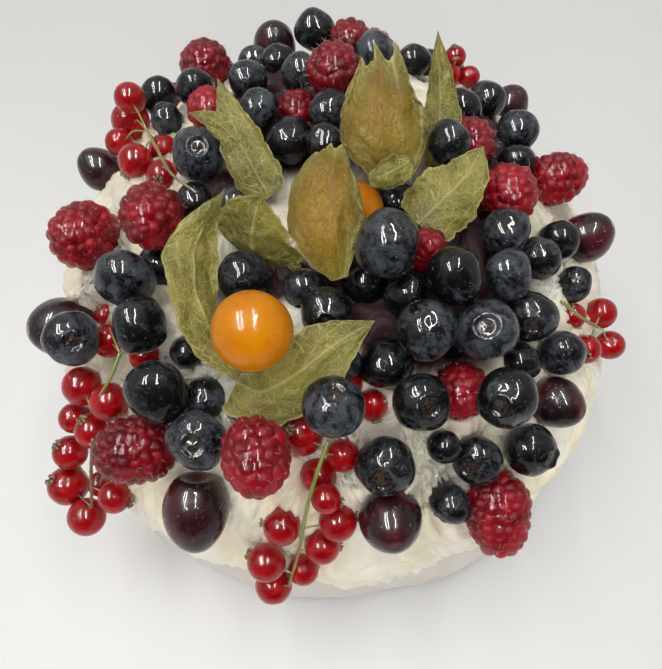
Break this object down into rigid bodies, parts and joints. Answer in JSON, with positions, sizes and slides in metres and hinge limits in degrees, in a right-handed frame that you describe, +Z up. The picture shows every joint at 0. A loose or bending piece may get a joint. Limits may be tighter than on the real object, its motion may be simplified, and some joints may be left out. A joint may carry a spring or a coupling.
{
  "type": "pavlova cake",
  "caption": "Round meringue cake with whipped cream and a heap of glazed berries, cherries and physalis fruit with papery husks.",
  "frame": {"origin": "centre of the flat underside of the meringue base", "axes": "+Z up, -Y towards the front of the cake as pictured"},
  "size_m": [0.2015, 0.2119, 0.1264],
  "materials": {
    "meringue": "baked white meringue with a satin surface",
    "cream": "soft whipped cream, ivory",
    "blueberry": "near-black blue skin with bloom under a clear fruit glaze",
    "raspberry": "crimson drupelets under a clear fruit glaze",
    "cherry": "very dark red glossy skin",
    "currant": "bright red translucent skin",
    "physalis": "smooth orange skin",
    "husk": "dry papery leaf with raised veins"
  },
  "bodies": {
    "root": {"meringue": "meringue", "cream": "cream", "blueberries_01": "blueberry", "blueberries_02": "blueberry", "blueberries_03": "blueberry", "blueberries_04": "blueberry", "blueberries_05": "blueberry", "blueberries_06": "blueberry", "blueberries_07": "blueberry", "blueberries_08": "blueberry", "blueberries_09": "blueberry", "blueberries_10": "blueberry", "blueberries_11": "blueberry", "blueberries_12": "blueberry", "blueberries_13": "blueberry", "blueberries_14": "blueberry", "currants_front": "currant", "currants_left": "currant", "currants_left_edge": "currant", "currants_back_left": "currant", "currants_back_right": "currant", "currants_right": "currant", "currants_middle": "currant", "raspberry_back": "raspberry", "raspberry_back_middle": "raspberry", "raspberry_back_left": "raspberry", "raspberry_upper_left": "raspberry", "raspberry_centre_back": "raspberry", "raspberry_left": "raspberry", "raspberry_left_inner": "raspberry", "raspberry_right_upper": "raspberry", "raspberry_right_middle": "raspberry", "raspberry_right_outer": "raspberry", "raspberry_centre": "raspberry", "raspberry_front_right": "raspberry", "raspberry_front_edge": "raspberry", "raspberry_front_left": "raspberry", "raspberry_front_middle": "raspberry", "raspberry_rear_edge": "raspberry", "raspberry_rear_left": "raspberry", "cherry_back": "cherry", "cherry_back_left": "cherry", "cherry_back_right": "cherry", "cherry_left": "cherry", "cherry_right": "cherry", "cherry_front_right": "cherry", "cherry_front": "cherry", "cherry_front_left": "cherry", "cherry_rear": "cherry", "physalis_front": "physalis", "physalis_middle": "physalis", "physalis_back": "physalis", "husk_front": "husk", "husk_broad": "husk", "husk_middle": "husk", "husk_curl": "husk", "husk_back": "husk", "husk_tall": "husk", "husk_right": "husk", "husk_left": "husk"}
  },
  "joints": []
}
